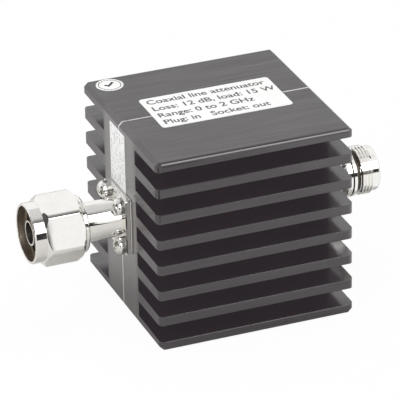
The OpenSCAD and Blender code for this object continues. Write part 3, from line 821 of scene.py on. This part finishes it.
def socket_barrel():
    """Neck, collar, real thread and nose of the socket, with its stepped bore, along +Z in millimetres."""
    root_r = THREAD_R - THREAD_DEPTH
    rear = [
        (STEM_HOLE_R, 0),
        (NECK_R, 0),
        (NECK_R, SOCKET_NECK_END),
        (BARREL_R - EDGE_BREAK, SOCKET_NECK_END),
        (BARREL_R, SOCKET_NECK_END + EDGE_BREAK),
        (BARREL_R, BARREL_END - FINE_EDGE),
        (BARREL_R - FINE_EDGE, BARREL_END),
        (FINE_GROOVE_R, BARREL_END),
        (FINE_GROOVE_R, FINE_GROOVE_END),
        (BARREL_R - FINE_EDGE, FINE_GROOVE_END),
        (BARREL_R, FINE_GROOVE_END + FINE_EDGE),
        (BARREL_R, COLLAR_END - FINE_EDGE),
        (BARREL_R - FINE_EDGE, COLLAR_END),
        (RELIEF_R, COLLAR_END),
        (RELIEF_R, RELIEF_END),
    ]
    front = [
        (NOSE_R, THREAD_END),
        (NOSE_R, NOSE_END - EDGE_BREAK - EDGE_HOLD),
        (NOSE_R, NOSE_END - EDGE_BREAK - FINE_EDGE),
        (NOSE_R - FINE_EDGE, NOSE_END - EDGE_BREAK + FINE_EDGE),
        (NOSE_R - EDGE_BREAK, NOSE_END),
        (SOCKET_BORE_R + 2 * FINE_EDGE, NOSE_END),
        (SOCKET_BORE_R, NOSE_END - 2 * FINE_EDGE),
        (SOCKET_BORE_R, SOCKET_STEP),
        (BEAD_HOLE_R, SOCKET_STEP),
        (BEAD_HOLE_R, BEAD_STOP),
        (STEM_HOLE_R, BEAD_STOP),
    ]

    def thread(angle):
        rings = []
        for place, height in thread_rings(RELIEF_END, THREAD_END, angle):
            lead_in = RELIEF_R + LEAD_IN_SLOPE * (place - RELIEF_END)
            run_out = NOSE_R + RUN_OUT_SLOPE * (THREAD_END - place)
            rings.append((min(root_r + THREAD_DEPTH * height, lead_in, run_out), place))
        return rings

    angles = [TURN * step / SOCKET_STEPS for step in range(SOCKET_STEPS)]
    # The groove floors take the second finish, which is painted shade
    floors = [i for i, (radius, _) in enumerate(rear) if radius in (FINE_GROOVE_R, RELIEF_R)]
    return turned_mesh(
        "socket_barrel",
        angles,
        lambda angle: rear + thread(angle) + front,
        lambda i: int(i in floors or i + 1 in floors),
    )


def socket_body():
    """Socket with its flange, joined into one solid."""
    barrel = linked("socket_barrel", socket_barrel())
    plate = linked("socket_flange", flange_plate("socket_flange"))
    mesh = combined(barrel, plate, "UNION", "socket_body_dressed")
    return nickel_piece("socket_body_dressed", mesh, 1, SHADED_NICKEL)


# Flange screws


def screw_blank():
    """Domed screw without its recess, its head standing on z = 0, in millimetres."""
    bm = bmesh.new()
    outline = [
        (0, -SCREW_LENGTH),
        (SCREW_R - SCREW_TIP, -SCREW_LENGTH),
        (SCREW_R, -SCREW_LENGTH + SCREW_TIP),
        (SCREW_R, 0),
        (HEAD_R - HEAD_EDGE, 0),
        (HEAD_R, HEAD_EDGE),
        (HEAD_R, HEAD_SKIRT),
    ]
    for step in range(1, DOME_STEPS + 1):
        angle = math.radians(90 * step / DOME_STEPS)
        place = HEAD_SKIRT + (HEAD_HEIGHT - HEAD_SKIRT) * math.sin(angle)
        outline.append((HEAD_R * math.cos(angle), place))
    verts = [bm.verts.new((radius, 0, place)) for radius, place in outline]
    edges = [bm.edges.new(pair) for pair in zip(verts, verts[1:])]
    bmesh.ops.spin(bm, geom=verts + edges, cent=(0, 0, 0), axis=(0, 0, 1), angle=TURN, steps=SCREW_STEPS)
    return closed_mesh("screw_blank", bm)


def cross_cutter():
    """Cross that cuts a screw's recess, smaller towards the recess's floor."""
    half, wide = CROSS_LENGTH / 2, CROSS_WIDTH / 2
    arm = [(half, -wide), (half, wide), (wide, wide)]
    cross = []
    for _ in range(4):
        cross += arm
        arm = [(-y, x) for x, y in arm]

    def sunk(value):
        return value * (CROSS_TAPER if abs(value) == half else CROSS_NARROW)

    bm = bmesh.new()
    low = [bm.verts.new((sunk(x), sunk(y), HEAD_HEIGHT - CROSS_DEPTH)) for x, y in cross]
    high = [bm.verts.new((x, y, HEAD_HEIGHT + CROSS_PAST)) for x, y in cross]
    bm.faces.new(low)
    bm.faces.new(list(reversed(high)))
    for i in range(len(cross)):
        j = (i + 1) % len(cross)
        bm.faces.new((low[i], low[j], high[j], high[i]))
    return closed_mesh("cross_cutter", bm)


def screw_mesh():
    """Domed screw with a tapered cross recess."""
    blank = linked("screw_blank", screw_blank())
    cutter = linked("cross_cutter", cross_cutter())
    mesh = combined(blank, cutter, "DIFFERENCE", "flange_screw")
    smooth(mesh, SCREW_SMOOTH)
    return mesh


def geometry_tree(name, inputs):
    """Geometry Nodes tree with named inputs and one geometry output."""
    tree = bpy.data.node_groups.new(name, "GeometryNodeTree")
    identifiers = {}
    for label, kind in inputs:
        identifiers[label] = tree.interface.new_socket(label, in_out="INPUT", socket_type=kind).identifier
    tree.interface.new_socket("Geometry", in_out="OUTPUT", socket_type="NodeSocketGeometry")
    return tree, identifiers, tree.nodes.new("NodeGroupInput"), tree.nodes.new("NodeGroupOutput")


def end_tree(tree, geometry, finish, result):
    """Ends a tree with real geometry in one finish."""
    real = node(tree, "GeometryNodeRealizeInstances", {0: geometry.outputs[0]})
    done = node(tree, "GeometryNodeSetMaterial", {"Geometry": real.outputs[0], "Material": finish})
    tree.links.new(done.outputs[0], result.inputs[0])


def grown(name, tree, identifiers, values):
    """Plain mesh of a Geometry Nodes tree with its inputs set."""
    carrier = linked(name, bpy.data.meshes.new(name))
    modifier = carrier.modifiers.new(name, "NODES")
    modifier.node_group = tree
    for label, value in values.items():
        modifier[identifiers[label]] = value
    return baked(carrier, name)


def screw_tree():
    """Tree that sets a screw at the four corners of a square, each turned by chance."""
    tree, identifiers, given, result = geometry_tree(
        "square_of_screws",
        [
            ("Screw", "NodeSocketObject"),
            ("Pitch", "NodeSocketFloat"),
            ("Seed", "NodeSocketInt"),
            ("Finish", "NodeSocketMaterial"),
        ],
    )
    value = given.outputs
    square = node(
        tree,
        "GeometryNodeMeshGrid",
        {"Size X": value["Pitch"], "Size Y": value["Pitch"], "Vertices X": 2, "Vertices Y": 2},
    )
    chance = node(tree, "FunctionNodeRandomValue", {"Seed": value["Seed"]}, data_type="FLOAT")
    limits = [socket for socket in chance.inputs if socket.type == "VALUE"]
    limits[0].default_value = 0.0
    limits[1].default_value = math.pi / 2
    amount = next(socket for socket in chance.outputs if socket.type == "VALUE")
    turn = node(tree, "ShaderNodeCombineXYZ", {"Z": amount})
    screw = node(tree, "GeometryNodeObjectInfo", {"Object": value["Screw"]})
    copies = node(
        tree,
        "GeometryNodeInstanceOnPoints",
        {"Points": square.outputs[0], "Instance": screw.outputs["Geometry"], "Rotation": turn.outputs[0]},
    )
    end_tree(tree, copies, value["Finish"], result)
    return tree, identifiers


def flange_screws():
    """Four screws in each flange, standing on their lock washers."""
    pattern = linked("screw_pattern", screw_mesh())
    tree, identifiers = screw_tree()
    seat = Matrix.Translation((0, 0, FLANGE_THICKNESS + LOCK_THICKNESS))
    for name, side, seed in (("plug_screws", -1, 3), ("socket_screws", 1, 8)):
        values = {"Screw": pattern, "Pitch": FLANGE_PITCH, "Seed": seed, "Finish": SCREW_STEEL}
        mesh = grown(name + "_dressed", tree, identifiers, values)
        mesh.transform(end_place(side) @ seat)
        piece = linked(name + "_dressed", mesh)
        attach(piece, BODY)
        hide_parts(name)
    bpy.data.objects.remove(pattern)


# Seal under each flange


def bead_tree():
    """Tree that runs a round bead along a square with rounded corners."""
    tree, identifiers, given, result = geometry_tree(
        "bead_round_a_square",
        [
            ("Side", "NodeSocketFloat"),
            ("Corner", "NodeSocketFloat"),
            ("Bead", "NodeSocketFloat"),
            ("Finish", "NodeSocketMaterial"),
        ],
    )
    value = given.outputs
    sides = {"Width": value["Side"], "Height": value["Side"]}
    square = node(tree, "GeometryNodeCurvePrimitiveQuadrilateral", sides)
    path = node(tree, "GeometryNodeFilletCurve", {"Curve": square.outputs[0], "Radius": value["Corner"]})
    for socket in path.inputs:
        if socket.name == "Count":
            socket.default_value = CORNER_STEPS
    circle = {"Resolution": BEAD_STEPS, "Radius": value["Bead"]}
    round_bead = node(tree, "GeometryNodeCurvePrimitiveCircle", circle)
    swept = {"Curve": path.outputs[0], "Profile Curve": round_bead.outputs[0]}
    end_tree(tree, node(tree, "GeometryNodeCurveToMesh", swept), value["Finish"], result)
    return tree, identifiers


def flange_seals():
    """Thin pale seal squeezed out round the rear edge of each flange."""
    tree, identifiers = bead_tree()
    for name, side in (("plug_flange_seal", -1), ("socket_flange_seal", 1)):
        values = {"Side": FLANGE_SIDE, "Corner": FLANGE_CORNER, "Bead": SEAL_R, "Finish": SEAL}
        mesh = grown(name, tree, identifiers, values)
        mesh.transform(end_place(side) @ Matrix.Translation((0, 0, SEAL_R)))
        mesh.shade_smooth()
        piece = linked(name, mesh)
        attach(piece, BODY)


# Printing on the labels


def text_mesh(name, words):
    """Lettering as a thin closed mesh, its left end and base line at the origin, in millimetres."""
    curve = bpy.data.curves.new(name, "FONT")
    curve.body = words
    curve.size = LETTER_SIZE
    curve.extrude = PRINT_HALF
    curve.offset = LETTER_BOLD
    return baked(linked(name, curve), name)


def printed_piece(name, meshes, finish):
    """One printed piece of several meshes that already lie in place."""
    bm = bmesh.new()
    for mesh in meshes:
        bm.from_mesh(mesh)
        bpy.data.meshes.remove(mesh)
    mesh = closed_mesh(name, bm, MERGE * MM)
    mesh.materials.clear()
    mesh.materials.append(finish)
    piece = linked(name, mesh)
    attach(piece, BODY)


def top_label_print():
    """Plain ratings in four rows on the top label."""
    low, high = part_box("top_label")
    pitch = (high.y - low.y) / (len(LABEL_ROWS) + ROW_ROOM)
    meshes = []
    for i, words in enumerate(LABEL_ROWS):
        mesh = text_mesh(f"label_row_{i}", words)
        base = high.y - pitch * (i + FIRST_ROW)
        place = Vector((low.x + LABEL_MARGIN * MM, base, high.z + PRINT_HALF * MM))
        mesh.transform(Matrix.Translation(place) @ Matrix.Scale(MM, 4))
        meshes.append(mesh)
    printed_piece("top_label_print", meshes, INK)


def sticker_print():
    """Tick inside a thin ring on the round sticker."""
    low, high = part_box("round_sticker")
    middle = Vector(((low.x + high.x) / 2, (low.y + high.y) / 2, high.z + PRINT_HALF * MM))
    radius = (high.x - low.x) / 2 / MM
    ring = [round_points(share * radius, RING_STEPS) for share in RING_SHARES]
    marks = linked("sticker_print", flat_curve("sticker_print", PRINT_HALF, [*ring, TICK]))
    mesh = baked(marks, "sticker_print")
    mesh.transform(Matrix.Translation(middle) @ Matrix.Scale(MM, 4))
    printed_piece("sticker_print", [mesh], INK)


def dash_tree():
    """Tree that lays small printed dashes in rows, some left out by chance."""
    tree, identifiers, given, result = geometry_tree(
        "rows_of_dashes",
        [
            ("Width", "NodeSocketFloat"),
            ("Height", "NodeSocketFloat"),
            ("Columns", "NodeSocketInt"),
            ("Rows", "NodeSocketInt"),
            ("Dash", "NodeSocketVector"),
            ("Kept", "NodeSocketFloat"),
            ("Seed", "NodeSocketInt"),
            ("Finish", "NodeSocketMaterial"),
        ],
    )
    value = given.outputs
    grid = node(
        tree,
        "GeometryNodeMeshGrid",
        {
            "Size X": value["Width"],
            "Size Y": value["Height"],
            "Vertices X": value["Columns"],
            "Vertices Y": value["Rows"],
        },
    )
    draw = {"Probability": value["Kept"], "Seed": value["Seed"]}
    chance = node(tree, "FunctionNodeRandomValue", draw, data_type="BOOLEAN")
    keep = next(socket for socket in chance.outputs if socket.type == "BOOLEAN")
    dash = node(tree, "GeometryNodeMeshCube", {"Size": value["Dash"]})
    copies = node(
        tree,
        "GeometryNodeInstanceOnPoints",
        {"Points": grid.outputs[0], "Instance": dash.outputs[0], "Selection": keep},
    )
    end_tree(tree, copies, value["Finish"], result)
    return tree, identifiers


def strip_print():
    """Fine rows of grey dashes down the strip, too small to read."""
    low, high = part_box("seal_strip")
    tree, identifiers = dash_tree()
    values = {
        "Width": (high.z - low.z) / MM - STRIP_END_ROOM,
        "Height": (high.y - low.y) / MM - STRIP_SIDE_ROOM,
        "Columns": STRIP_COLUMNS,
        "Rows": STRIP_ROWS,
        "Dash": (DASH_LENGTH, DASH_WIDTH, 2 * PRINT_HALF),
        "Kept": DASHES_KEPT,
        "Seed": 5,
        "Finish": PALE_INK,
    }
    mesh = grown("strip_print", tree, identifiers, values)
    middle = Vector((low.x - PRINT_HALF * MM, (low.y + high.y) / 2, (low.z + high.z) / 2))
    turn = Matrix.Rotation(math.radians(-90), 4, "Y")
    mesh.transform(Matrix.Translation(middle) @ turn @ Matrix.Scale(MM, 4))
    printed_piece("strip_print", [mesh], PALE_INK)


# CAD pieces


def soften_edges(name, width):
    """Narrow rounded edges on a CAD piece, in millimetres, so that they catch the light."""
    piece = nodes[name]
    weld = piece.modifiers.new("closed_seams", "WELD")
    weld.merge_threshold = 0.0005 * MM
    bevel = piece.modifiers.new("rounded_edges", "BEVEL")
    bevel.width = width * MM
    bevel.segments = 2
    bevel.limit_method = "ANGLE"
    bevel.angle_limit = math.radians(40)
    bevel.harden_normals = True


for name, finish in {
    "heatsink_front_half": ANODISED,
    "heatsink_rear_half": ANODISED,
    "plug_body": PLUG_NICKEL,
    "coupling_nut": NICKEL,
    "snap_ring": SPRING_STEEL,
    "plug_gasket": GASKET,
    "plug_insulator": INSULATOR,
    "plug_center_pin": GOLD,
    "plug_screws": SCREW_STEEL,
    "plug_lock_washers": SPRING_STEEL,
    "socket_body": NICKEL,
    "socket_insulator": INSULATOR,
    "socket_center_contact": GOLD,
    "socket_screws": SCREW_STEEL,
    "socket_lock_washers": SPRING_STEEL,
    "chip_carrier": NICKEL,
    "chip_ceramic": CERAMIC,
    "chip_cover": CERAMIC,
    "input_tab": GOLD,
    "output_tab": GOLD,
    "chip_screws": SCREW_STEEL,
    "clamp_screws": SCREW_STEEL,
    "top_label": PAPER,
    "round_sticker": PAPER,
    "seal_strip": PAPER,
}.items():
    nodes[name].data.materials.clear()
    nodes[name].data.materials.append(finish)

soften_edges("plug_body", PLUG_EDGE)

nut = coupling_nut()
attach(nut, NUT)
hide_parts("coupling_nut")

socket = socket_body()
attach(socket, BODY)
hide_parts("socket_body")

flange_screws()
flange_seals()
top_label_print()
sticker_print()
strip_print()


# Stage, in metres

MIDDLE = Vector((0, 0, LINE_HEIGHT * MM))
CAMERA_AZIMUTH = math.radians(-21.3749)
CAMERA_ELEVATION = math.radians(26.5127)
CAMERA_ROLL = math.radians(-1.0294)
CAMERA_DISTANCE = 1.16149
CAMERA_SHIFT = (-0.04442, -0.00785)
CAMERA_CLIP = (0.05, 20)
FLOOR_HALF = 3

# Camera's focal length and sensor width, in millimetres
CAMERA_LENS = 331.342
CAMERA_SENSOR = 36

# Glow of a flag, which gives a dark band
DARK = (0.03, 0.03)


def make_camera():
    """Camera at the photograph's angle, placed round the middle of the heat sink."""
    back = Vector((
        math.sin(CAMERA_AZIMUTH) * math.cos(CAMERA_ELEVATION),
        -math.cos(CAMERA_AZIMUTH) * math.cos(CAMERA_ELEVATION),
        math.sin(CAMERA_ELEVATION),
    ))
    level = Vector((math.cos(CAMERA_AZIMUTH), math.sin(CAMERA_AZIMUTH), 0))
    upright = back.cross(level)
    right = level * math.cos(CAMERA_ROLL) + upright * math.sin(CAMERA_ROLL)
    up = upright * math.cos(CAMERA_ROLL) - level * math.sin(CAMERA_ROLL)
    data = bpy.data.cameras.new("camera")
    data.lens = CAMERA_LENS
    data.sensor_width = CAMERA_SENSOR
    data.shift_x, data.shift_y = CAMERA_SHIFT
    data.clip_start, data.clip_end = CAMERA_CLIP
    camera = linked("camera", data)
    place = Matrix((right, up, back)).transposed().to_4x4()
    place.translation = MIDDLE + back * CAMERA_DISTANCE
    camera.matrix_world = place
    bpy.context.scene.camera = camera


def seen_ray(tree):
    """1 for rays that the camera, gloss or glass sends out, 0 for those that carry light."""
    ray = node(tree, "ShaderNodeLightPath").outputs
    return larger(tree, larger(tree, ray["Is Camera Ray"], ray["Is Glossy Ray"]), ray["Is Transmission Ray"])


def make_floor():
    """Pale floor that glows white where it is seen and keeps the object's shadow."""
    bm = bmesh.new()
    bmesh.ops.create_grid(bm, x_segments=8, y_segments=8, size=FLOOR_HALF)
    mesh = bpy.data.meshes.new("floor")
    bm.to_mesh(mesh)
    bm.free()
    finish = bpy.data.materials.new("white_floor")
    finish.use_nodes = True
    tree = finish.node_tree
    matt = tree.nodes["Principled BSDF"]
    ray = node(tree, "ShaderNodeLightPath").outputs
    pale = colour_mix(tree, ray["Is Glossy Ray"], (0.9, 0.9, 0.9), (0.72, 0.71, 0.69))
    feed(tree, matt, Base_Color=pale, Roughness=0.9, Specular_IOR_Level=0.0)
    glow = node(tree, "ShaderNodeEmission", {"Color": (1, 1, 1, 1), "Strength": 1.0})
    share = times(tree, ray["Is Camera Ray"], 0.96)
    both = node(tree, "ShaderNodeMixShader", {0: share, 1: matt.outputs[0], 2: glow.outputs[0]})
    tree.links.new(both.outputs[0], tree.nodes["Material Output"].inputs["Surface"])
    mesh.materials.append(finish)
    linked("floor", mesh)


def make_world(strength):
    """White surroundings, dimmer as a light than as a background."""
    world = bpy.data.worlds.new("white_tent")
    world.use_nodes = True
    tree = world.node_tree
    power = ramp(tree, seen_ray(tree), 0, 1, strength, 1.0)
    feed(tree, tree.nodes["Background"], Color=(1, 1, 1, 1), Strength=power)
    bpy.context.scene.world = world


def make_lamp(name, place, size, power):
    """Soft square lamp that points at the object and leaves no blob in its gloss."""
    data = bpy.data.lights.new(name, "AREA")
    data.shape = "SQUARE"
    data.size = size
    data.energy = power
    lamp = linked(name, data)
    lamp.location = place
    lamp.rotation_euler = (MIDDLE - Vector(place)).to_track_quat("-Z", "Y").to_euler()
    lamp.visible_glossy = False


def make_card(name, corners, glow):
    """Studio card that only gloss sees, its glow running from its first edge to the opposite one."""
    mesh = bpy.data.meshes.new(name)
    mesh.from_pydata(corners, [], [range(4)])
    uv = mesh.uv_layers.new(name="across")
    for loop, spot in zip(uv.data, ((0, 0), (1, 0), (1, 1), (0, 1))):
        loop.uv = spot
    finish = bpy.data.materials.new(name)
    finish.use_nodes = True
    tree = finish.node_tree
    tree.nodes.remove(tree.nodes["Principled BSDF"])
    place = axes(tree, node(tree, "ShaderNodeTexCoord").outputs["UV"])["Y"]
    light = node(tree, "ShaderNodeEmission", {"Strength": ramp(tree, place, 0, 1, *glow)})
    tree.links.new(light.outputs[0], tree.nodes["Material Output"].inputs["Surface"])
    mesh.materials.append(finish)
    card = linked(name, mesh)
    card.visible_camera = False
    card.visible_diffuse = False
    card.visible_shadow = False
    card.visible_transmission = False


def level_card(name, x, y, z, glow):
    """Card that lies level, its glow running from front to rear."""
    make_card(name, [(x[0], y[0], z), (x[1], y[0], z), (x[1], y[1], z), (x[0], y[1], z)], glow)


def upright_card(name, x, y, z, glow):
    """Card that stands across the view, its glow running from foot to top."""
    make_card(name, [(x[0], y, z[0]), (x[1], y, z[0]), (x[1], y, z[1]), (x[0], y, z[1])], glow)


def side_card(name, x, y, z, glow):
    """Card that stands at one end of the object, its glow running from foot to top."""
    make_card(name, [(x, y[0], z[0]), (x, y[1], z[0]), (x, y[1], z[1]), (x, y[0], z[1])], glow)


make_camera()
make_floor()
make_world(0.55)
make_lamp("left_softbox", place=(-0.9, -0.35, 0.75), size=0.6, power=5)
make_lamp("top_softbox", place=(0.1, 0.1, 1.2), size=0.7, power=5)

# Flags that give the dark bands in the gloss of the nickel and the heat sink
upright_card("rim_flag", x=(-0.08, -0.0476), y=-0.05, z=(0.031, 0.0505), glow=DARK)
upright_card("neck_flag", x=(-0.0238, -0.002), y=-0.08, z=(0.041, 0.0575), glow=DARK)
upright_card("front_gap", x=(0.187, 0.27), y=-0.8, z=(0.15, 0.37), glow=DARK)
upright_card("socket_flag", x=(0.085, 0.125), y=-0.15, z=(0.031, 0.0745), glow=DARK)
level_card("zenith_flag", x=(0.475, 0.64), y=(-1.02, 0.0), z=1.58, glow=DARK)

# Bright front, fading rear and ceiling, a glow on the floor and a dim left side
upright_card("front_softbox", x=(-0.4, 0.9), y=-1.0, z=(0.36, 1.5), glow=(3.5, 4.2))
upright_card("rear_fade", x=(0.47, 1.0), y=1.5, z=(0.72, 0.88), glow=(0.42, 0.66))
level_card("ceiling_front", x=(-2, 0.6), y=(-0.88, -0.28), z=1.6, glow=(0.08, 0.66))
level_card("ceiling_rear", x=(-2, 0.6), y=(-0.28, 1.05), z=1.6, glow=(0.66, 0.75))
level_card("floor_glow", x=(0.055, 0.5), y=(-0.4, -0.005), z=0.002, glow=(1.0, 1.0))
side_card("left_card", x=-1.5, y=(-0.7, 0.5), z=(0.15, 1.05), glow=(0.08, 0.1))
bpy.context.scene.view_settings.view_transform = "Standard"
